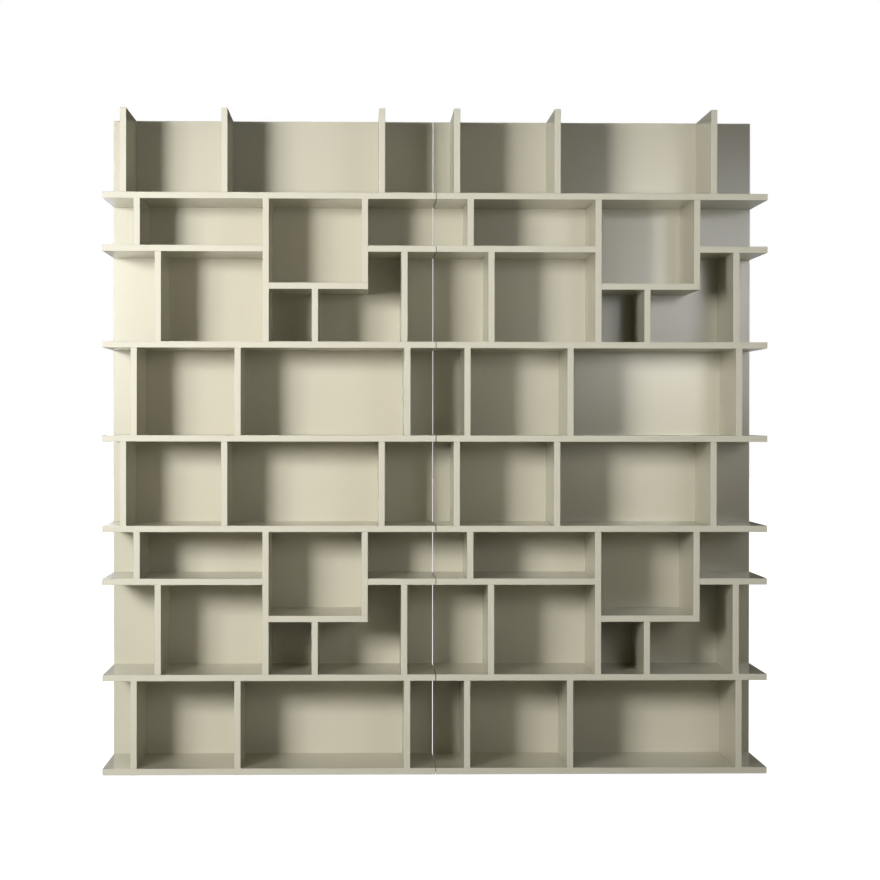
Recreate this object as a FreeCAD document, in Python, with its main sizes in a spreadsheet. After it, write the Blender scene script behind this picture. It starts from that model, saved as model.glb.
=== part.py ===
import FreeCAD, Part
import math
import os
import re
import Sketcher

# A bookcase of four equal square modules in lacquered board: two side by side, two more on top.
# X runs to the right, Y from the front edges to the wall, Z up. The origin is on the floor,
# midway along the width and the depth. All sizes are in millimetres.

SIZES = {
    # Boards, and the module that they make.
    "board": 19,
    "back_board": 16,
    "module_width": 1000,
    "clear_depth": 364,
    "column_gap": 2,
    "arris": 0.8,
    # Clear heights of a module's four rows, and of the space under the niche.
    "bottom_row": 263,
    "middle_row": 270,
    "short_row": 140,
    "top_row": 253,
    "niche_rise": 158,
    # Each upright's left face, from the left end of its module.
    "bottom_left": 84,
    "bottom_centre": 395,
    "bottom_right": 905,
    "middle_left": 156,
    "tall_left": 479,
    "post_left": 627,
    "middle_right": 896,
    "short_left": 93,
    "niche_left": 777,
    "top_left": 52,
    "top_centre": 355,
    "top_right": 828,
    # Tongues, stopped short of every edge that shows, and the glue room at their tips.
    "tongue": 10,
    "tongue_reach": 6,
    "tongue_stop": 20,
    "glue_gap": 0.5,
    # Pins that locate an upper module on the uprights of the lower one.
    "pin_radius": 4,
    "pin_sink": 26,
    "pin_rise": 10,
    # Felt pads under the lower modules.
    "felt_side": 25,
    "felt_height": 3,
    "felt_inset": 20,
    # Keyhole plates let into the back, and their screws.
    "hanger_drop": 90,
    "plate_width": 24,
    "plate_length": 70,
    "plate_thick": 2,
    "keyhole_entry": 5.5,
    "keyhole_slot": 2.6,
    "keyhole_travel": 14,
    "keyhole_room": 9,
    "screw_spacing": 54,
    "screw_radius": 1.75,
    "screw_length": 12,
    "screw_head": 3.4,
    "head_height": 1.85,
    "head_taper": 1.65,
    "plate_hole": 1.8,
    "countersink": 1.8,
}

doc = FreeCAD.newDocument("stacked_bookcase")
sheet = doc.addObject("Spreadsheet::Sheet", "Sizes")
for row, (alias, size) in enumerate(SIZES.items(), start=1):
    sheet.set(f"A{row}", alias)
    sheet.set(f"B{row}", str(size))
    sheet.setAlias(f"B{row}", alias)
doc.recompute()

# Heights above the underside of a module's base: each shelf's underside, then the module's top.
MIDDLE_LEVEL = "board + bottom_row"
NICHE_LEVEL = f"{MIDDLE_LEVEL} + board + niche_rise"
SHORT_LEVEL = f"{MIDDLE_LEVEL} + board + middle_row"
HIGH_LEVEL = f"{SHORT_LEVEL} + board + short_row"
MODULE_HEIGHT = f"{HIGH_LEVEL} + board + top_row"
TALL_HEIGHT = "middle_row + board + short_row"

FRONT = "-(clear_depth + back_board) / 2"
LEFT_COLUMN = "-module_width - column_gap / 2"
RIGHT_COLUMN = "column_gap / 2"
UPPER_BASE = f"felt_height + {MODULE_HEIGHT}"

SHOULDER = "(board - tongue) / 2"
TONGUE_DEPTH = "clear_depth - 2 * tongue_stop"
HOUSING = "tongue_reach + glue_gap"

# The keyhole plate of an upper module, on the middle of its back.
HANGER_ACROSS = "module_width / 2"
HANGER_UP = f"{MODULE_HEIGHT} - hanger_drop"
HANGER_SIDE = f"{HANGER_ACROSS} - plate_width / 2"
HANGER_FOOT = f"{HANGER_UP} - plate_length / 2"
KEYHOLE_UP = f"{HANGER_UP} - keyhole_travel / 2"
SCREWS_UP = (f"{HANGER_UP} - screw_spacing / 2", f"{HANGER_UP} + screw_spacing / 2")

BOTTOM_PLACES = ("bottom_left", "bottom_centre", "bottom_right")
TOP_PLACES = ("top_left", "top_centre", "top_right")
PINNED_PLACES = ("top_left", "top_right")

# The shelves of a module: level, left and right end, and the uprights that stand below and above.
# tongued names the end that is let into the side of an upright.
SHELVES = {
    "base_shelf": {
        "level": "0",
        "above": BOTTOM_PLACES,
    },
    "middle_shelf": {
        "level": MIDDLE_LEVEL,
        "below": BOTTOM_PLACES,
        "above": ("middle_left", "tall_left", "post_left", "middle_right"),
    },
    "niche_floor": {
        "level": NICHE_LEVEL,
        "left": "tall_left + board",
        "right": "niche_left + board",
        "tongued": "left",
        "below": ("post_left",),
        "above": ("niche_left",),
    },
    "left_short_shelf": {
        "level": SHORT_LEVEL,
        "right": "tall_left",
        "tongued": "right",
        "below": ("middle_left",),
        "above": ("short_left",),
    },
    "right_short_shelf": {
        "level": SHORT_LEVEL,
        "left": "niche_left + board",
        "tongued": "left",
        "below": ("middle_right",),
    },
    "high_shelf": {
        "level": HIGH_LEVEL,
        "below": ("short_left", "tall_left", "niche_left"),
        "above": TOP_PLACES,
    },
}

# The uprights of a module: places, foot level and height. side_housings lists the face and the
# height above the foot at which a shelf's end is let in.
UPRIGHTS = {
    "bottom_row_uprights": {
        "places": BOTTOM_PLACES,
        "foot": "board",
        "height": "bottom_row",
    },
    "middle_row_uprights": {
        "places": ("middle_left", "middle_right"),
        "foot": f"{MIDDLE_LEVEL} + board",
        "height": "middle_row",
    },
    "tall_upright": {
        "places": ("tall_left",),
        "foot": f"{MIDDLE_LEVEL} + board",
        "height": TALL_HEIGHT,
        "side_housings": (("left", "middle_row"), ("right", "niche_rise")),
    },
    "niche_post": {
        "places": ("post_left",),
        "foot": f"{MIDDLE_LEVEL} + board",
        "height": "niche_rise",
    },
    "niche_side": {
        "places": ("niche_left",),
        "foot": f"{NICHE_LEVEL} + board",
        "height": f"{TALL_HEIGHT} - niche_rise - board",
        "side_housings": (("right", "middle_row - niche_rise - board"),),
    },
    "short_upright": {
        "places": ("short_left",),
        "foot": f"{SHORT_LEVEL} + board",
        "height": "short_row",
    },
    "top_row_uprights": {
        "places": TOP_PLACES,
        "foot": f"{HIGH_LEVEL} + board",
        "height": "top_row",
        "free_top": True,
    },
}

MODULES = {
    "lower_left": {"left": LEFT_COLUMN, "base": "felt_height", "upper": False},
    "lower_right": {"left": RIGHT_COLUMN, "base": "felt_height", "upper": False},
    "upper_left": {"left": LEFT_COLUMN, "base": UPPER_BASE, "upper": True},
    "upper_right": {"left": RIGHT_COLUMN, "base": UPPER_BASE, "upper": True},
}
COLUMNS = ("0", "module_width + column_gap")

# Slack for telling which edges lie on a plane of the board.
TOUCH = 0.01


def cells(text):
    """The expression for a sum of sizes, with each name pointing at its cell in the sheet."""
    return re.sub(r"[a-z_]+", lambda name: f"Sizes.{name.group()}", text)


def number(text):
    """The value of a sum of sizes."""
    return float(sheet.evalExpression(cells(text)))


def new_body(label, x, y, z):
    """An empty piece whose own origin stands at x, y, z."""
    body = doc.addObject("PartDesign::Body", label)
    body.Label = label
    for axis, place in zip("xyz", (x, y, z)):
        body.setExpression(f"Placement.Base.{axis}", cells(place))
    return body


def new_sketch(body, name, role, offset="0"):
    """A sketch on one of the piece's own planes, moved along that plane's normal."""
    plane = next(feature for feature in body.Origin.OriginFeatures if feature.Role == role)
    sketch = body.newObject("Sketcher::SketchObject", name)
    sketch.AttachmentSupport = [(plane, "")]
    sketch.MapMode = "FlatFace"
    sketch.setExpression("AttachmentOffset.Base.z", cells(offset))
    return sketch


def dimension(sketch, constraint, text):
    """Add a dimension and bind it to the sheet."""
    index = sketch.addConstraint(constraint)
    sketch.setExpression(f"Constraints[{index}]", cells(text))


def place_point(sketch, geometry, point, across, up):
    """Fix a point of the sketch by its distances from the origin; "0" puts it on the axis."""
    horizontal_axis = -1
    vertical_axis = -2
    if across == "0":
        sketch.addConstraint(Sketcher.Constraint("PointOnObject", geometry, point, vertical_axis))
    else:
        distance = Sketcher.Constraint("DistanceX", -1, 1, geometry, point, number(across))
        dimension(sketch, distance, across)
    if up == "0":
        sketch.addConstraint(Sketcher.Constraint("PointOnObject", geometry, point, horizontal_axis))
    else:
        distance = Sketcher.Constraint("DistanceY", -1, 1, geometry, point, number(up))
        dimension(sketch, distance, up)


def rectangle(sketch, left, low, width, height):
    """A rectangle from its lower left corner."""
    x = number(left)
    y = number(low)
    x_end = x + number(width)
    y_end = y + number(height)
    corners = [FreeCAD.Vector(*corner) for corner in ((x, y), (x_end, y), (x_end, y_end), (x, y_end))]
    base = sketch.GeometryCount
    sketch.addGeometry([Part.LineSegment(corners[i], corners[(i + 1) % 4]) for i in range(4)])
    for side in range(4):
        joined = (base + side + 1) if side < 3 else base
        sketch.addConstraint(Sketcher.Constraint("Coincident", base + side, 2, joined, 1))
        direction = "Horizontal" if side % 2 == 0 else "Vertical"
        sketch.addConstraint(Sketcher.Constraint(direction, base + side))
    place_point(sketch, base, 1, left, low)
    across = Sketcher.Constraint("DistanceX", base, 1, base, 2, number(width))
    dimension(sketch, across, width)
    up = Sketcher.Constraint("DistanceY", base + 1, 1, base + 1, 2, number(height))
    dimension(sketch, up, height)


def circle(sketch, across, up, radius):
    """A circle from its centre."""
    centre = FreeCAD.Vector(number(across), number(up))
    index = sketch.addGeometry(Part.Circle(centre, FreeCAD.Vector(0, 0, 1), number(radius)))
    dimension(sketch, Sketcher.Constraint("Radius", index, number(radius)), radius)
    place_point(sketch, index, 3, across, up)


def upright_slot(sketch, across, up, radius, travel):
    """A round-ended slot that rises by travel from its lower centre."""
    x = number(across)
    low = number(up)
    high = low + number(travel)
    reach = number(radius)
    normal = FreeCAD.Vector(0, 0, 1)
    base = sketch.GeometryCount
    upper = Part.Circle(FreeCAD.Vector(x, high), normal, reach)
    lower = Part.Circle(FreeCAD.Vector(x, low), normal, reach)
    sketch.addGeometry([
        Part.ArcOfCircle(upper, 0, math.pi),
        Part.LineSegment(FreeCAD.Vector(x - reach, high), FreeCAD.Vector(x - reach, low)),
        Part.ArcOfCircle(lower, math.pi, 2 * math.pi),
        Part.LineSegment(FreeCAD.Vector(x + reach, low), FreeCAD.Vector(x + reach, high)),
    ])
    for part in range(4):
        joined = (base + part + 1) if part < 3 else base
        sketch.addConstraint(Sketcher.Constraint("Tangent", base + part, 2, joined, 1))
    sketch.addConstraint(Sketcher.Constraint("Vertical", base + 1))
    dimension(sketch, Sketcher.Constraint("Radius", base + 2, reach), radius)
    place_point(sketch, base + 2, 3, across, up)
    rise = Sketcher.Constraint("DistanceY", base + 2, 3, base, 3, high - low)
    dimension(sketch, rise, travel)


def pad(body, sketch, name, length, backwards=False):
    """Add material from a sketch."""
    feature = body.newObject("PartDesign::Pad", name)
    feature.Profile = sketch
    feature.setExpression("Length", cells(length))
    feature.Reversed = backwards
    doc.recompute()


def pocket(body, sketch, name, depth, backwards=False):
    """Cut away material from a sketch, and make sure that the cut meets the board."""
    volume = body.Tip.Shape.Volume
    feature = body.newObject("PartDesign::Pocket", name)
    feature.Profile = sketch
    feature.setExpression("Length", cells(depth))
    feature.Reversed = backwards
    doc.recompute()
    if feature.Shape.Volume > volume - TOUCH:
        raise ValueError(f"{body.Label}: {name} cuts nothing")


def chamfer(body, name, size, picks):
    """Chamfer the edges whose bounding box picks accepts."""
    base = body.Tip
    edges = [f"Edge{n}" for n, edge in enumerate(base.Shape.Edges, start=1) if picks(edge.BoundBox)]
    feature = body.newObject("PartDesign::Chamfer", name)
    feature.Base = (base, edges)
    feature.setExpression("Size", cells(size))
    doc.recompute()


def pin_holes(body, plane, depth, backwards):
    """Blind holes for the stacking pins, one on the middle of each pinned upright."""
    sketch = new_sketch(body, "pin_hole_profile", "XY_Plane", plane)
    for place in PINNED_PLACES:
        circle(sketch, f"{place} + board / 2", "clear_depth / 2", "pin_radius")
    pocket(body, sketch, "pin_holes", depth, backwards)


def end_tongue(body, side, length):
    """The tongue on the end of a short shelf, for the housing in an upright's side."""
    at_left = side == "left"
    sketch = new_sketch(body, "end_tongue_profile", "YZ_Plane", "0" if at_left else length)
    rectangle(sketch, "tongue_stop", SHOULDER, TONGUE_DEPTH, "tongue")
    pad(body, sketch, "end_tongue", "tongue_reach", backwards=at_left)


def upright_housings(body, name, places, left, plane, backwards):
    """Stopped grooves across a shelf, one for the end of each upright."""
    sketch = new_sketch(body, f"{name}_profile", "XY_Plane", plane)
    for place in places:
        rectangle(sketch, f"{place} - ({left}) + {SHOULDER}", "tongue_stop", "tongue", TONGUE_DEPTH)
    pocket(body, sketch, name, HOUSING, backwards)


def make_shelf(module, piece, level, left="0", right="module_width", tongued="", below=(), above=()):
    """A shelf: a board with a rear tongue for the back panel and housings for the uprights."""
    length = f"{right} - ({left})"
    where = MODULES[module]
    body = new_body(f"{module}_{piece}", f"{where['left']} + {left}", FRONT, f"{where['base']} + {level}")
    outline = new_sketch(body, "outline", "XY_Plane")
    rectangle(outline, "0", "0", length, "clear_depth")
    pad(body, outline, "plank", "board")
    rear = new_sketch(body, "rear_tongue_profile", "XZ_Plane", "-clear_depth")
    rectangle(rear, "tongue_stop", SHOULDER, f"{length} - 2 * tongue_stop", "tongue")
    pad(body, rear, "rear_tongue", "tongue_reach", backwards=True)
    if tongued:
        end_tongue(body, tongued, length)
    if above:
        upright_housings(body, "top_housings", above, left, "board", backwards=False)
    if below:
        upright_housings(body, "under_housings", below, left, "0", backwards=True)
    if piece == "base_shelf" and where["upper"]:
        pin_holes(body, "0", "pin_rise + glue_gap", backwards=True)
    span = number(length)
    half_depth = number("clear_depth") / 2

    def is_arris(box):
        front = box.YMax < TOUCH
        left_end = tongued != "left" and box.XMax < TOUCH
        right_end = tongued != "right" and box.XMin > span - TOUCH
        return front or (box.YLength > half_depth and (left_end or right_end))

    chamfer(body, "arrises", "arris", is_arris)
    return body


def make_uprights(module, piece, places, foot, height, side_housings=(), free_top=False):
    """Equal uprights of one row: boards with stopped tongues at foot, head and rear."""
    where = MODULES[module]
    body = new_body(f"{module}_{piece}", where["left"], FRONT, f"{where['base']} + {foot}")
    outline = new_sketch(body, "outline", "XY_Plane")
    feet = new_sketch(body, "end_tongue_profile", "XY_Plane")
    rears = new_sketch(body, "rear_tongue_profile", "XZ_Plane", "-clear_depth")
    for place in places:
        rectangle(outline, place, "0", "board", "clear_depth")
        rectangle(feet, f"{place} + {SHOULDER}", "tongue_stop", "tongue", TONGUE_DEPTH)
        rectangle(rears, f"{place} + {SHOULDER}", "tongue_stop", "tongue", f"{height} - 2 * tongue_stop")
    pad(body, outline, "planks", height)
    pad(body, feet, "foot_tongues", "tongue_reach", backwards=True)
    pad(body, rears, "rear_tongues", "tongue_reach", backwards=True)
    if not free_top:
        heads = new_sketch(body, "head_tongue_profile", "XY_Plane", height)
        for place in places:
            rectangle(heads, f"{place} + {SHOULDER}", "tongue_stop", "tongue", TONGUE_DEPTH)
        pad(body, heads, "head_tongues", "tongue_reach")
    elif not where["upper"]:
        pin_holes(body, height, "pin_sink", backwards=False)
    for side, rise in side_housings:
        at_left = side == "left"
        face = places[0] if at_left else f"{places[0]} + board"
        housing = new_sketch(body, f"{side}_housing_profile", "YZ_Plane", face)
        rectangle(housing, "tongue_stop", f"{rise} + {SHOULDER}", TONGUE_DEPTH, "tongue")
        pocket(body, housing, f"{side}_housing", HOUSING, backwards=at_left)
    top = number(height)
    half_depth = number("clear_depth") / 2

    def is_arris(box):
        front = box.YMax < TOUCH
        head = free_top and box.ZMin > top - TOUCH and box.YLength > half_depth
        return front or head

    chamfer(body, "arrises", "arris", is_arris)
    return body


def make_back_panel(module):
    """The back: one board that takes the rear tongues of every shelf and upright."""
    where = MODULES[module]
    body = new_body(f"{module}_back_panel", where["left"], f"{FRONT} + clear_depth", where["base"])
    outline = new_sketch(body, "outline", "XZ_Plane")
    rectangle(outline, "0", "0", "module_width", MODULE_HEIGHT)
    pad(body, outline, "panel", "back_board", backwards=True)
    housings = new_sketch(body, "housing_profile", "XZ_Plane")
    for shelf in SHELVES.values():
        left = shelf.get("left", "0")
        length = f"{shelf.get('right', 'module_width')} - ({left})"
        across = f"{left} + tongue_stop"
        up = f"{shelf['level']} + {SHOULDER}"
        rectangle(housings, across, up, f"{length} - 2 * tongue_stop", "tongue")
    for row in UPRIGHTS.values():
        for place in row["places"]:
            low = f"{row['foot']} + tongue_stop"
            rise = f"{row['height']} - 2 * tongue_stop"
            rectangle(housings, f"{place} + {SHOULDER}", low, "tongue", rise)
    pocket(body, housings, "housings", HOUSING)
    if where["upper"]:
        let_in_hanger(body)
    width = number("module_width")
    height = number(MODULE_HEIGHT)

    def is_arris(box):
        upright = box.ZLength > height / 2 and (box.XMax < TOUCH or box.XMin > width - TOUCH)
        level = box.XLength > width / 2 and (box.ZMax < TOUCH or box.ZMin > height - TOUCH)
        return upright or level

    chamfer(body, "arrises", "arris", is_arris)
    return body


def let_in_hanger(body):
    """Recesses in the rear face: the plate's own, room for a wall screw's head, pilot holes."""
    rear = "-back_board"
    plate = new_sketch(body, "plate_recess_profile", "XZ_Plane", rear)
    rectangle(plate, HANGER_SIDE, HANGER_FOOT, "plate_width", "plate_length")
    pocket(body, plate, "plate_recess", "plate_thick", backwards=True)
    room = new_sketch(body, "head_room_profile", "XZ_Plane", rear)
    upright_slot(room, HANGER_ACROSS, KEYHOLE_UP, "keyhole_entry + glue_gap", "keyhole_travel")
    pocket(body, room, "head_room", "keyhole_room", backwards=True)
    pilots = new_sketch(body, "pilot_hole_profile", "XZ_Plane", rear)
    for screw_up in SCREWS_UP:
        circle(pilots, HANGER_ACROSS, screw_up, "screw_radius")
    pocket(body, pilots, "pilot_holes", "screw_length", backwards=True)


def upper_body(label, back_off):
    """A piece that lies back_off in front of the rear plane of the upper modules."""
    return new_body(label, LEFT_COLUMN, f"-({FRONT}) - ({back_off})", UPPER_BASE)


def make_hanger_plates():
    """Steel keyhole plates, flush with the rear face: the wall screw's head goes in and up."""
    body = upper_body("hanger_plates", "plate_thick")
    outline = new_sketch(body, "outline", "XZ_Plane")
    entries = new_sketch(body, "entry_profile", "XZ_Plane")
    slots = new_sketch(body, "slot_profile", "XZ_Plane")
    holes = new_sketch(body, "screw_hole_profile", "XZ_Plane")
    for column in COLUMNS:
        middle = f"{column} + {HANGER_ACROSS}"
        rectangle(outline, f"{column} + {HANGER_SIDE}", HANGER_FOOT, "plate_width", "plate_length")
        circle(entries, middle, KEYHOLE_UP, "keyhole_entry")
        upright_slot(slots, middle, KEYHOLE_UP, "keyhole_slot", "keyhole_travel")
        for screw_up in SCREWS_UP:
            circle(holes, middle, screw_up, "plate_hole")
    pad(body, outline, "plates", "plate_thick", backwards=True)
    pocket(body, entries, "entries", "plate_thick")
    pocket(body, slots, "slots", "plate_thick")
    pocket(body, holes, "screw_holes", "plate_thick")
    rear = number("plate_thick")
    across_hole = 2 * number("plate_hole")

    def is_sink(box):
        round_hole = abs(box.XLength - across_hole) < TOUCH and abs(box.ZLength - across_hole) < TOUCH
        return round_hole and box.YMin > rear - TOUCH

    chamfer(body, "countersinks", "countersink", is_sink)
    return body


def make_hanger_screws():
    """Countersunk wood screws, two to a plate, with their heads flush."""
    body = upper_body("hanger_screws", "0")
    heads = new_sketch(body, "head_profile", "XZ_Plane")
    shanks = new_sketch(body, "shank_profile", "XZ_Plane")
    for column in COLUMNS:
        for screw_up in SCREWS_UP:
            circle(heads, f"{column} + {HANGER_ACROSS}", screw_up, "screw_head")
            circle(shanks, f"{column} + {HANGER_ACROSS}", screw_up, "screw_radius")
    pad(body, heads, "heads", "head_height")
    inner = number("head_height")
    chamfer(body, "head_tapers", "head_taper", lambda box: box.YMax < TOUCH - inner)
    pad(body, shanks, "shanks", "screw_length")
    return body


def make_stacking_pins():
    """Round pins, sunk in the tops of the lower uprights, that stand up into the upper bases."""
    body = new_body("stacking_pins", LEFT_COLUMN, FRONT, f"{UPPER_BASE} - pin_sink")
    sketch = new_sketch(body, "outline", "XY_Plane")
    for column in COLUMNS:
        for place in PINNED_PLACES:
            circle(sketch, f"{column} + {place} + board / 2", "clear_depth / 2", "pin_radius")
    pad(body, sketch, "pins", "pin_sink + pin_rise")
    return body


def make_felt_pads():
    """Square pads stuck under the lower bases, in line with the bottom uprights that load them."""
    body = new_body("felt_pads", LEFT_COLUMN, FRONT, "0")
    sketch = new_sketch(body, "outline", "XY_Plane")
    for column in COLUMNS:
        for place in BOTTOM_PLACES:
            for inset in ("felt_inset", "clear_depth - felt_inset - felt_side"):
                left = f"{column} + {place} + (board - felt_side) / 2"
                rectangle(sketch, left, inset, "felt_side", "felt_side")
    pad(body, sketch, "pads", "felt_height")
    return body


bodies = []
for name in MODULES:
    bodies.append(make_back_panel(name))
    for shelf_name, shelf_plan in SHELVES.items():
        bodies.append(make_shelf(name, shelf_name, **shelf_plan))
    for row_name, row_plan in UPRIGHTS.items():
        bodies.append(make_uprights(name, row_name, **row_plan))
bodies.append(make_stacking_pins())
bodies.append(make_felt_pads())
bodies.append(make_hanger_plates())
bodies.append(make_hanger_screws())
doc.recompute()

failed = [item.Label for item in doc.Objects if {"Invalid", "Error"} & set(item.State)]
failed += [body.Label for body in bodies if body.Shape.isNull() or not body.Shape.isValid()]
if failed:
    raise ValueError(f"these did not build: {failed}")

os.makedirs("parts", exist_ok=True)
for body in bodies:
    body.Shape.exportStep(f"parts/{body.Label}.step")
    box = body.Shape.BoundBox
    size = f"{box.XLength:.1f} x {box.YLength:.1f} x {box.ZLength:.1f}"
    print(f"{body.Label}: {len(body.Shape.Solids)} solids, {size}")
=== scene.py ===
import math

import bpy
import numpy as np
from mathutils import Matrix, Vector


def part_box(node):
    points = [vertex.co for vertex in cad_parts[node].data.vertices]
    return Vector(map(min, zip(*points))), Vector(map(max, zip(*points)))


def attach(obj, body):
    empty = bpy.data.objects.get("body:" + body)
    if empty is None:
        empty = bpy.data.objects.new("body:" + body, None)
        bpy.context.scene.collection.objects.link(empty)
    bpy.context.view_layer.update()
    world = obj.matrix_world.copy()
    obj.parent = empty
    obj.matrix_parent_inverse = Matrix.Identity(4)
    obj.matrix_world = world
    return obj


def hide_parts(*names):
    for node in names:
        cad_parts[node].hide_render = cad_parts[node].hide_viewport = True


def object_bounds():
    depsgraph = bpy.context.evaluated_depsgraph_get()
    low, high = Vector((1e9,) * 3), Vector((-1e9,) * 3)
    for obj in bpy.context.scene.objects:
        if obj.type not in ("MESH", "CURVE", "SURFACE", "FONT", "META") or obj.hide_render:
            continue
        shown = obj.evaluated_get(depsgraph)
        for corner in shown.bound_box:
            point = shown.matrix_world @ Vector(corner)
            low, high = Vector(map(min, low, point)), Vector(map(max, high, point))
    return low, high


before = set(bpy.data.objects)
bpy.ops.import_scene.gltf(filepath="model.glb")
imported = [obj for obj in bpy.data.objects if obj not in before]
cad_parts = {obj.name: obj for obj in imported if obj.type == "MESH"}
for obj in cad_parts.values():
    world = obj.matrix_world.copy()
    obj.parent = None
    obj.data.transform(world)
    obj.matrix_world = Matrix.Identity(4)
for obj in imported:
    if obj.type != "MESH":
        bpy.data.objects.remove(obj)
cad_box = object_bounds()

# Shelves: boards of medium-density fibreboard under a satin greige lacquer, sprayed on all sides.
# Three run the whole width of a module and three are short. Stopped grooves hold the uprights,
# and a tongue along the rear edge is glued into the back.
MODULES = ("lower_left", "lower_right", "upper_left", "upper_right")
SHELVES = (
    "base_shelf",
    "middle_shelf",
    "niche_floor",
    "left_short_shelf",
    "right_short_shelf",
    "high_shelf",
)
FRONT_FACE = cad_box[0].y
SHELF_DEPTH = 0.364
BOARD = 0.019
ARRIS = 0.0008
LACQUER_PALE = (0.632, 0.602, 0.482, 1.0)
LACQUER_DEEP = (0.628, 0.598, 0.478, 1.0)
LACQUER_ROUGHNESS = 0.18
ROUGHNESS_SWING = 0.006
LACQUER_SPECULAR = 0.38
EDGE_DULLNESS = 0.3
FILM_CELLS = 40.0
PEEL_CELLS = 300.0
PEEL_HEIGHT = 0.000004
PIT_CELLS = 1400.0
PIT_HEIGHT = 0.000006


def plain_finish(name):
    """A new node material: itself, its tree, its shader and its coordinates in metres."""
    finish = bpy.data.materials.new(name)
    finish.use_nodes = True
    tree = finish.node_tree
    shader = tree.nodes["Principled BSDF"]
    place = tree.nodes.new("ShaderNodeTexCoord").outputs["Object"]
    return finish, tree, shader, place


def drawn_out(tree, place, scale):
    """Coordinates scaled by axis: a pattern runs long where the scale is small."""
    mapping = tree.nodes.new("ShaderNodeMapping")
    mapping.inputs["Scale"].default_value = scale
    tree.links.new(place, mapping.inputs["Vector"])
    return mapping.outputs["Vector"]


def mottle(tree, place, cells, detail):
    """Noise with that many cells to the metre, from 0 to 1."""
    texture = tree.nodes.new("ShaderNodeTexNoise")
    texture.inputs["Scale"].default_value = cells
    texture.inputs["Detail"].default_value = detail
    tree.links.new(place, texture.inputs["Vector"])
    return texture.outputs["Fac"]


def graded(tree, value, low, high, start=0.3, end=0.7):
    """A value from start to end, carried over to the range from low to high and held there."""
    carry = tree.nodes.new("ShaderNodeMapRange")
    carry.inputs["From Min"].default_value = start
    carry.inputs["From Max"].default_value = end
    carry.inputs["To Min"].default_value = low
    carry.inputs["To Max"].default_value = high
    tree.links.new(value, carry.inputs["Value"])
    return carry.outputs["Result"]


def two_tone(tree, value, deep, pale, start=0.3, end=0.7):
    """A colour that goes from deep to pale as the value goes from start to end."""
    ramp = tree.nodes.new("ShaderNodeValToRGB")
    ramp.color_ramp.elements[0].position = start
    ramp.color_ramp.elements[0].color = deep
    ramp.color_ramp.elements[1].position = end
    ramp.color_ramp.elements[1].color = pale
    tree.links.new(value, ramp.inputs["Fac"])
    return ramp.outputs["Color"]


def worked_out(tree, operation, first, second):
    """The sum or product of two values."""
    node = tree.nodes.new("ShaderNodeMath")
    node.operation = operation
    tree.links.new(first, node.inputs[0])
    tree.links.new(second, node.inputs[1])
    return node.outputs["Value"]


def relief(tree, height, metres, under=None):
    """A bump that many metres high, laid over the bump under it where one is given."""
    node = tree.nodes.new("ShaderNodeBump")
    node.inputs["Distance"].default_value = metres
    tree.links.new(height, node.inputs["Height"])
    if under is not None:
        tree.links.new(under, node.inputs["Normal"])
    return node.outputs["Normal"]


def lacquer(name, passes):
    """Sprayed lacquer: a broad drift of tone along the spray passes, a sheen that varies a
    little, orange peel a few millimetres across, and fine pits on the sawn front edges."""
    finish, tree, shader, place = plain_finish(name)
    along = drawn_out(tree, place, passes)
    tone = two_tone(tree, mottle(tree, along, 1.0, 1.0), LACQUER_DEEP, LACQUER_PALE)
    tree.links.new(tone, shader.inputs["Base Color"])
    axes = tree.nodes.new("ShaderNodeSeparateXYZ")
    tree.links.new(place, axes.inputs["Vector"])
    edge = graded(tree, axes.outputs["Y"], 1.0, 0.0, FRONT_FACE + ARRIS / 2, FRONT_FACE + ARRIS)
    least = LACQUER_ROUGHNESS - ROUGHNESS_SWING
    most = LACQUER_ROUGHNESS + ROUGHNESS_SWING
    sheen = graded(tree, mottle(tree, along, FILM_CELLS, 2.0), least, most)
    dull = graded(tree, edge, 0.0, EDGE_DULLNESS, 0.0, 1.0)
    tree.links.new(worked_out(tree, "ADD", sheen, dull), shader.inputs["Roughness"])
    peel = relief(tree, mottle(tree, place, PEEL_CELLS, 1.0), PEEL_HEIGHT)
    pits = worked_out(tree, "MULTIPLY", mottle(tree, place, PIT_CELLS, 2.0), edge)
    tree.links.new(relief(tree, pits, PIT_HEIGHT, peel), shader.inputs["Normal"])
    shader.inputs["IOR"].default_value = 1.5
    shader.inputs["Specular IOR Level"].default_value = LACQUER_SPECULAR
    return finish


def dress(node, finish):
    """Give a CAD piece its finish, in place of the plain colour that it came with."""
    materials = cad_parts[node].data.materials
    materials.clear()
    materials.append(finish)


shelf_lacquer = lacquer("lacquer_on_shelves", (0.8, 3.0, 3.0))
for module in MODULES:
    for shelf in SHELVES:
        dress(f"{module}_{shelf}", shelf_lacquer)

# Uprights: short boards of the same fibreboard and lacquer, at staggered places between the
# shelves. Stopped tongues at foot, head and rear go into grooves, so no joint shows in front.
UPRIGHTS = (
    "bottom_row_uprights",
    "middle_row_uprights",
    "tall_upright",
    "niche_post",
    "niche_side",
    "short_upright",
    "top_row_uprights",
)
upright_lacquer = lacquer("lacquer_on_uprights", (3.0, 3.0, 0.8))
for module in MODULES:
    for upright in UPRIGHTS:
        dress(f"{module}_{upright}", upright_lacquer)

# Backs: one lacquered board behind each module, as large as the module itself. It closes the
# bays, keeps the module square and takes the rear tongues of all its shelves and uprights.
back_lacquer = lacquer("lacquer_on_backs", (1.8, 1.8, 0.7))
for module in MODULES:
    dress(f"{module}_back_panel", back_lacquer)

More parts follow.
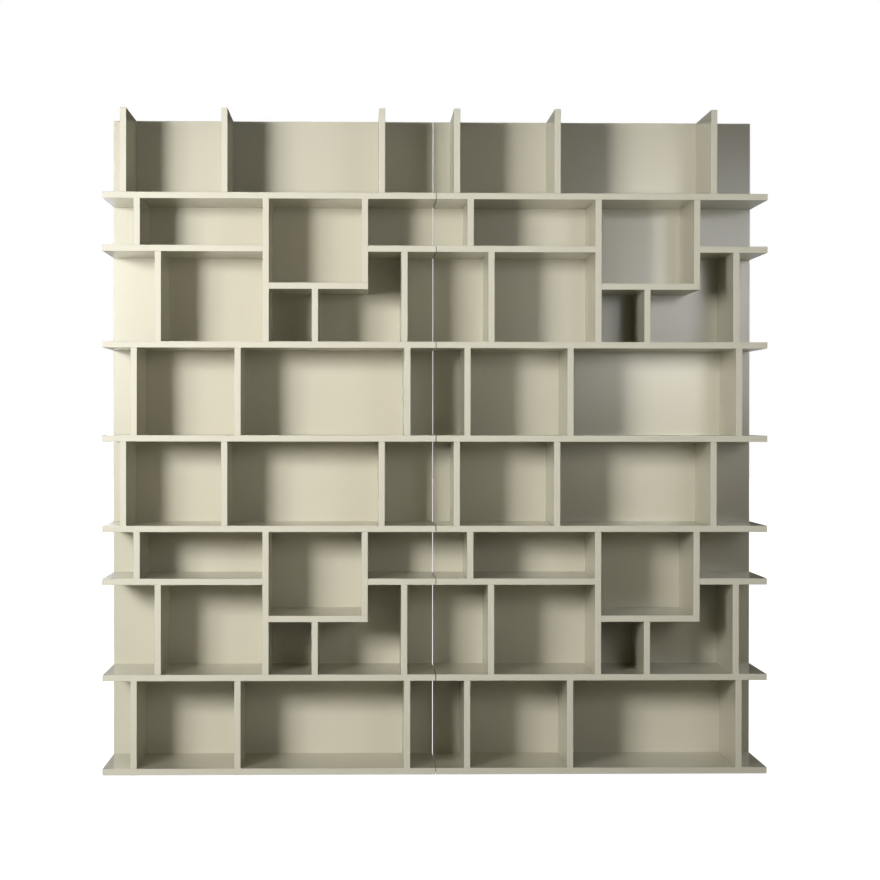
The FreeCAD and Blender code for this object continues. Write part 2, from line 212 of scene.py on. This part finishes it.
# Floor pads: squares of dense wool felt, stuck under the two lower bases in line with the
# uprights that load them. Their sides bulge a little under the weight.
FELT_SIDE = 0.025
FELT_HEIGHT = 0.003
FELT_INSET = 0.020
FELT_BULGE = 0.0006
FELT_SQUARENESS = 9.0
FELT_AROUND = 64
FELT_LEVELS = (0.0, 0.0, 0.0, 0.04, 0.15, 0.32, 0.5, 0.68, 0.85, 0.96, 1.0, 1.0, 1.0)
FELT_DRAWN_IN = (0.9, 0.5, 0.1, 0.03, 0.01, 0.0, 0.0, 0.0, 0.01, 0.03, 0.1, 0.5, 0.9)
LOADED_UPRIGHTS = (0.084, 0.395, 0.905)
FELT_DARK = (0.105, 0.098, 0.09, 1.0)
FELT_LIGHT = (0.2, 0.19, 0.175, 1.0)
FELT_FIBRES = 900.0
FELT_NAP = 0.0003


def closed_rings(rings):
    """The points and faces of a closed surface: a stack of rings of points, each of them shut
    to the next, with the first and the last ring shut by a pole at their middle."""
    count, around = rings.shape[:2]
    poles = rings[[0, -1]].mean(axis=1)
    points = np.concatenate([rings.reshape(-1, 3), poles])
    ring, step = np.meshgrid(np.arange(count - 1), np.arange(around), indexing="ij")
    here = ring * around + step
    ahead = ring * around + (step + 1) % around
    sides = np.stack([here, ahead, ahead + around, here + around], axis=-1).reshape(-1, 4)
    first = np.arange(around)
    after = (first + 1) % around
    last = (count - 1) * around
    start = np.stack([np.full(around, count * around), after, first], axis=-1)
    end = np.stack([np.full(around, count * around + 1), last + first, last + after], axis=-1)
    return points, sides.tolist() + start.tolist() + end.tolist()


def felt_pad(x, y):
    """A square with rounded corners, which is a superellipse ring carried up the height; the
    ring swells by a half sine to its widest at mid height and rounds in at foot and head."""
    angle = np.linspace(0, 2 * math.pi, FELT_AROUND, endpoint=False)
    circle = np.stack([np.cos(angle), np.sin(angle)], axis=-1)
    outline = np.sign(circle) * np.abs(circle) ** (2 / FELT_SQUARENESS)
    level = np.array(FELT_LEVELS)
    swell = FELT_BULGE * (np.sin(math.pi * level) - 1)
    reach = (FELT_SIDE / 2 + swell) * (1 - np.array(FELT_DRAWN_IN))
    rings = np.empty((len(level), FELT_AROUND, 3))
    rings[..., :2] = reach[:, None, None] * outline + np.array([x, y])
    rings[..., 2] = FELT_HEIGHT * level[:, None]
    return closed_rings(rings)


def new_piece(name, shapes, finish):
    """One smooth mesh object at the origin from several shapes, each points and faces."""
    points = np.concatenate([shape[0] for shape in shapes])
    starts = np.cumsum([0] + [len(shape[0]) for shape in shapes[:-1]])
    faces = []
    for shape, start in zip(shapes, starts):
        faces += [[corner + start for corner in face] for face in shape[1]]
    mesh = bpy.data.meshes.new(name)
    mesh.from_pydata(points.tolist(), [], faces)
    mesh.polygons.foreach_set("use_smooth", np.ones(len(faces), dtype=bool))
    mesh.materials.append(finish)
    mesh.update()
    piece = bpy.data.objects.new(name, mesh)
    bpy.context.scene.collection.objects.link(piece)
    return piece


felt, tree, shader, place = plain_finish("wool_felt")
fibres = mottle(tree, drawn_out(tree, place, (1.0, 2.2, 2.2)), FELT_FIBRES, 6.0)
tree.links.new(two_tone(tree, fibres, FELT_DARK, FELT_LIGHT), shader.inputs["Base Color"])
tree.links.new(relief(tree, fibres, FELT_NAP), shader.inputs["Normal"])
shader.inputs["Roughness"].default_value = 0.95
shader.inputs["Specular IOR Level"].default_value = 0.15
shader.inputs["Sheen Weight"].default_value = 0.5
shader.inputs["Sheen Roughness"].default_value = 0.6

felt_rows = (
    FRONT_FACE + FELT_INSET + FELT_SIDE / 2,
    FRONT_FACE + SHELF_DEPTH - FELT_INSET - FELT_SIDE / 2,
)
pads = []
for module in ("lower_left", "lower_right"):
    module_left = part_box(f"{module}_base_shelf")[0].x
    for upright_left in LOADED_UPRIGHTS:
        for row in felt_rows:
            pads.append(felt_pad(module_left + upright_left + BOARD / 2, row))
floor_pads = new_piece("floor_pads", pads, felt)
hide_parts("felt_pads")
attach(floor_pads, "root")

# Stacking pins: fluted beech dowels with bevelled ends. They stand in the tops of the lower
# modules' outer uprights and go up into the bases above, so that the modules can't slide.
PIN_RADIUS = 0.004
PIN_BEVEL = 0.0008
PIN_FLUTES = 18
PIN_FLUTE_DEPTH = 0.00025
PIN_AROUND = 144
PINNED_UPRIGHTS = (0.052, 0.828)
BEECH_DARK = (0.42, 0.25, 0.13, 1.0)
BEECH_LIGHT = (0.6, 0.4, 0.23, 1.0)
BEECH_GRAIN = 700.0
BEECH_PORES = 0.00004


def dowel(x, y, foot, head):
    """A ring carried up the height; a raised cosine round the ring presses in the flutes, which
    run out at the bevelled ends."""
    angle = np.linspace(0, 2 * math.pi, PIN_AROUND, endpoint=False)
    climb = np.array([0.0, 0.0, PIN_BEVEL, 2 * PIN_BEVEL])
    z = np.concatenate([foot + climb, (head - climb)[::-1]])
    reach = np.array([0.5, 1.0, 1.0, 1.0]) * PIN_RADIUS - np.array([0.0, PIN_BEVEL, 0.0, 0.0])
    reach = np.concatenate([reach, reach[::-1]])
    fluted = np.array([0.0, 0.0, 0.0, 1.0])
    fluted = np.concatenate([fluted, fluted[::-1]])
    flute = PIN_FLUTE_DEPTH * (0.5 + 0.5 * np.cos(PIN_FLUTES * angle))
    radius = reach[:, None] - fluted[:, None] * flute
    rings = np.stack(
        [
            x + radius * np.cos(angle),
            y + radius * np.sin(angle),
            np.repeat(z[:, None], PIN_AROUND, axis=1),
        ],
        axis=-1,
    )
    return closed_rings(rings)


beech, tree, shader, place = plain_finish("beech")
grain = mottle(tree, drawn_out(tree, place, (1.0, 1.0, 0.08)), BEECH_GRAIN, 5.0)
tree.links.new(two_tone(tree, grain, BEECH_DARK, BEECH_LIGHT), shader.inputs["Base Color"])
tree.links.new(graded(tree, grain, 0.62, 0.5), shader.inputs["Roughness"])
tree.links.new(relief(tree, grain, BEECH_PORES), shader.inputs["Normal"])

pin_foot, pin_head = (corner.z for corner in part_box("stacking_pins"))
pins = []
for module in ("lower_left", "lower_right"):
    module_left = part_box(f"{module}_base_shelf")[0].x
    for upright_left in PINNED_UPRIGHTS:
        across = module_left + upright_left + BOARD / 2
        pins.append(dowel(across, FRONT_FACE + SHELF_DEPTH / 2, pin_foot, pin_head))
dowels = new_piece("stacking_dowels", pins, beech)
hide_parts("stacking_pins")
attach(dowels, "root")

# Keyhole plates: pressed steel, zinc plated, let in flush with the rear face of each upper
# module. A screw in the wall goes into the round hole and up into the slot.
ZINC_DARK = (0.5, 0.51, 0.53, 1.0)
ZINC_LIGHT = (0.66, 0.67, 0.68, 1.0)
ZINC_CLOUDS = 160.0
ZINC_LINES = 2500.0
ZINC_LINE_HEIGHT = 0.000004


def zinc_plate(name, drawn):
    """Bright zinc: soft clouds in the plating over fine lines left by rolling or turning."""
    finish, tree, shader, place = plain_finish(name)
    clouds = mottle(tree, place, ZINC_CLOUDS, 3.0)
    tree.links.new(two_tone(tree, clouds, ZINC_DARK, ZINC_LIGHT), shader.inputs["Base Color"])
    tree.links.new(graded(tree, clouds, 0.42, 0.28), shader.inputs["Roughness"])
    lines = mottle(tree, drawn_out(tree, place, drawn), ZINC_LINES, 2.0)
    tree.links.new(relief(tree, lines, ZINC_LINE_HEIGHT), shader.inputs["Normal"])
    shader.inputs["Metallic"].default_value = 1.0
    return finish


dress("hanger_plates", zinc_plate("zinc_on_plates", (1.0, 1.0, 0.02)))

# Plate screws: countersunk wood screws with a cross recess, two to a plate, driven into the
# back until their heads lie flush.
SCREW_HEAD = 0.0034
SCREW_RIM = 0.0002
SCREW_HEAD_HEIGHT = 0.00185
SCREW_CREST = 0.00175
SCREW_CORE = 0.0012
SCREW_PITCH = 0.0016
SCREW_LENGTH = 0.012
SCREW_TIP = 0.003
SCREW_AROUND = 64
SCREW_SPACING = 0.054
RECESS_REACH = 0.0019
RECESS_ARM = 0.00042
RECESS_WALL = 0.0001
RECESS_DEPTH = 0.0012


def countersunk_screw(x, y, z):
    """Rings from the middle of the head's face out to its rim, in down the countersink and along
    the shank. The cross recess is a depth over the face, and the thread a triangle wave that
    winds once round the shank for each pitch."""
    angle = np.linspace(0, 2 * math.pi, SCREW_AROUND, endpoint=False)
    face = np.linspace(0.0001, SCREW_HEAD, 28)[:, None]
    along_arm = np.maximum(np.abs(face * np.cos(angle)), np.abs(face * np.sin(angle)))
    across_arm = np.minimum(np.abs(face * np.cos(angle)), np.abs(face * np.sin(angle)))
    inside = np.clip((RECESS_ARM - across_arm) / RECESS_WALL, 0, 1)
    recess = RECESS_DEPTH * inside * np.clip(1 - along_arm / RECESS_REACH, 0, 1) ** 0.5
    head_radius = np.repeat(np.concatenate([face[:, 0], [SCREW_HEAD]])[:, None], SCREW_AROUND, axis=1)
    head_depth = np.concatenate([recess, np.full((1, SCREW_AROUND), SCREW_RIM)])
    run = np.arange(SCREW_HEAD_HEIGHT, SCREW_LENGTH, SCREW_PITCH / 12)[:, None]
    turn = run / SCREW_PITCH - angle / (2 * math.pi)
    thread = np.abs(2 * (turn % 1.0) - 1)
    pointed = np.clip((SCREW_LENGTH - run) / SCREW_TIP, 0.03, 1) ** 0.7
    radius = np.concatenate([head_radius, (SCREW_CORE + (SCREW_CREST - SCREW_CORE) * thread) * pointed])
    depth = np.concatenate([head_depth, np.repeat(run, SCREW_AROUND, axis=1)])
    rings = np.stack([x + radius * np.cos(angle), y - depth, z + radius * np.sin(angle)], axis=-1)
    return closed_rings(rings)


screws = []
for module in ("upper_left", "upper_right"):
    low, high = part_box(f"{module}_back_panel")
    middle = (low.x + high.x) / 2
    plate_low, plate_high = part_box("hanger_plates")
    plate_middle = (plate_low.z + plate_high.z) / 2
    for step in (-SCREW_SPACING / 2, SCREW_SPACING / 2):
        screws.append(countersunk_screw(middle, high.y, plate_middle + step))
plate_screws = new_piece("plate_screws", screws, zinc_plate("zinc_on_screws", (1.0, 0.05, 1.0)))
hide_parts("hanger_screws")
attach(plate_screws, "root")

# Floor: a wide pale surface. To the camera it is white away from the bookcase, and next to it
# a little less, so that the shadow of the bookcase stays. The steel on the rear mirrors the near
# floor behind the bookcase just as white.
FLOOR_REACH = 40.0
FLOOR_GREY = (0.48, 0.48, 0.48, 1.0)
FLOOR_NEAR = 0.9
SHADOW_REACH = 0.9
MIRRORED_REACH = 9.0
MIRRORED_END = 13.0

floor_mesh = bpy.data.meshes.new("floor")
corners = FLOOR_REACH * np.array([[-1, -1, 0], [1, -1, 0], [1, 1, 0], [-1, 1, 0]])
floor_mesh.from_pydata(corners.tolist(), [], [(0, 1, 2, 3)])
floor = bpy.data.objects.new("floor", floor_mesh)
bpy.context.scene.collection.objects.link(floor)
floor_finish, tree, shader, place = plain_finish("pale_floor")
shader.inputs["Base Color"].default_value = FLOOR_GREY
shader.inputs["Roughness"].default_value = 0.9
shader.inputs["Specular IOR Level"].default_value = 0.1
away = place
for operation, values in (
    ("ABSOLUTE", None),
    ("SUBTRACT", (cad_box[1].x, cad_box[1].y, 0.0)),
    ("MAXIMUM", (0.0, 0.0, 0.0)),
    ("LENGTH", None),
):
    step = tree.nodes.new("ShaderNodeVectorMath")
    step.operation = operation
    tree.links.new(away, step.inputs[0])
    if values:
        step.inputs[1].default_value = values
    away = step.outputs["Value" if operation == "LENGTH" else "Vector"]
whiteness = graded(tree, away, FLOOR_NEAR, 1.0, 0.0, SHADOW_REACH)
axes = tree.nodes.new("ShaderNodeSeparateXYZ")
tree.links.new(place, axes.inputs["Vector"])
behind = graded(tree, axes.outputs["Y"], 0.0, 1.0, FRONT_FACE, cad_box[1].y)
path = tree.nodes.new("ShaderNodeLightPath")
mirrored = worked_out(tree, "ADD", path.outputs["Is Glossy Ray"], path.outputs["Is Transmission Ray"])
mirrored = worked_out(tree, "MULTIPLY", mirrored, behind)
near = graded(tree, axes.outputs["Y"], 1.0, 0.0, MIRRORED_REACH, MIRRORED_END)
mirrored = worked_out(tree, "MULTIPLY", mirrored, near)
seen = worked_out(tree, "ADD", path.outputs["Is Camera Ray"], mirrored)
tree.links.new(worked_out(tree, "MULTIPLY", whiteness, seen), shader.inputs["Emission Strength"])
shader.inputs["Emission Color"].default_value = (1.0, 1.0, 1.0, 1.0)
floor_mesh.materials.append(floor_finish)

# Light: the key is a soft box on the left with a grid, weaker towards the right and the foot. A
# plain one beyond it lights the uprights' sides, two on the right show softly in the bays there,
# and the ends and the rear have one each. The room is dark but for its upper part behind.
MIDDLE = Vector((0.0, 0.0, 1.0))
UPPER_LEFT = Vector((-0.95, 0.17, 1.6))
UPPER_RIGHT = Vector((0.75, 0.17, 1.4))
SOFT_BOXES = {
    "key": {
        "place": (-2.25, -5.1, 1.68),
        "size": (0.65, 0.95),
        "watts": 41.0,
        "aim": UPPER_LEFT,
        "spread": 80,
    },
    "key_edge": {
        "place": (-3.0, -5.1, 1.9),
        "size": (0.6, 0.8),
        "watts": 90.0,
        "aim": MIDDLE,
        "spread": 180,
    },
    "right_fill": {
        "place": (1.85, -6.0, 1.85),
        "size": (1.5, 0.9),
        "watts": 5.6,
        "aim": UPPER_RIGHT,
        "spread": 64,
    },
    "right_low": {
        "place": (1.5, -6.0, 1.25),
        "size": (1.4, 0.4),
        "watts": 8.0,
        "aim": MIDDLE,
        "spread": 180,
    },
    "left_side": {
        "place": (-5.0, 1.0, 1.8),
        "size": (1.0, 1.0),
        "watts": 14.0,
        "aim": MIDDLE,
        "spread": 180,
    },
    "right_side": {
        "place": (5.0, 1.0, 1.2),
        "size": (1.0, 1.0),
        "watts": 32.0,
        "aim": MIDDLE,
        "spread": 180,
    },
    "rear": {
        "place": (-2.0, 5.0, 2.2),
        "size": (2.0, 1.5),
        "watts": 65.0,
        "aim": MIDDLE,
        "spread": 180,
    },
}
ROOM_BEHIND = 1.0
BEHIND_START = math.radians(6.0)
BEHIND_END = math.radians(37.0)
HORIZON = math.radians(14.0)
HORIZON_END = math.radians(22.0)

for name, plan in SOFT_BOXES.items():
    box = bpy.data.lights.new(name, "AREA")
    box.shape = "RECTANGLE"
    box.size, box.size_y = plan["size"]
    box.energy = plan["watts"]
    box.spread = math.radians(plan["spread"])
    lamp = bpy.data.objects.new(name, box)
    lamp.location = plan["place"]
    lamp.rotation_euler = (plan["aim"] - lamp.location).to_track_quat("-Z", "Y").to_euler()
    bpy.context.scene.collection.objects.link(lamp)

room = bpy.data.worlds.new("studio")
bpy.context.scene.world = room
room.use_nodes = True
tree = room.node_tree
lit = tree.nodes["Background"]
lit.inputs["Color"].default_value = (1.0, 1.0, 1.0, 1.0)
white = tree.nodes.new("ShaderNodeBackground")
white.inputs["Color"].default_value = (1.0, 1.0, 1.0, 1.0)
axes = tree.nodes.new("ShaderNodeSeparateXYZ")
tree.links.new(tree.nodes.new("ShaderNodeTexCoord").outputs["Generated"], axes.inputs["Vector"])
behind = graded(tree, axes.outputs["Y"], 0.0, ROOM_BEHIND, math.sin(BEHIND_START), math.sin(BEHIND_END))
above = graded(tree, axes.outputs["Z"], 0.0, 1.0, math.sin(HORIZON), math.sin(HORIZON_END))
tree.links.new(worked_out(tree, "MULTIPLY", behind, above), lit.inputs["Strength"])
path = tree.nodes.new("ShaderNodeLightPath")
choice = tree.nodes.new("ShaderNodeMixShader")
tree.links.new(path.outputs["Is Camera Ray"], choice.inputs["Fac"])
tree.links.new(lit.outputs["Background"], choice.inputs[1])
tree.links.new(white.outputs["Background"], choice.inputs[2])
tree.links.new(choice.outputs["Shader"], tree.nodes["World Output"].inputs["Surface"])
bpy.context.scene.view_settings.view_transform = "Standard"

# Camera: at chest height, about eight metres back and a little to the left of the middle. Its
# long lens keeps the shelves level and shows only a little of their tops and undersides.
EYE = Vector((-0.22595, -8.05681, 1.06901))
YAW = math.radians(-1.7306)
PITCH = math.radians(-0.4283)
ROLL = math.radians(-0.0621)
LENS = 106.98
SENSOR = 36.0

turn = Matrix.Rotation(YAW, 3, "Z") @ Matrix.Rotation(PITCH, 3, "X") @ Matrix.Rotation(ROLL, 3, "Y")
right, forward, up = turn.col
view = Matrix((right, up, -forward)).transposed().to_4x4()
view.translation = EYE
camera = bpy.data.objects.new("camera", bpy.data.cameras.new("camera"))
camera.matrix_world = view
camera.data.sensor_fit = "HORIZONTAL"
camera.data.sensor_width = SENSOR
camera.data.lens = LENS
bpy.context.scene.collection.objects.link(camera)
bpy.context.scene.camera = camera
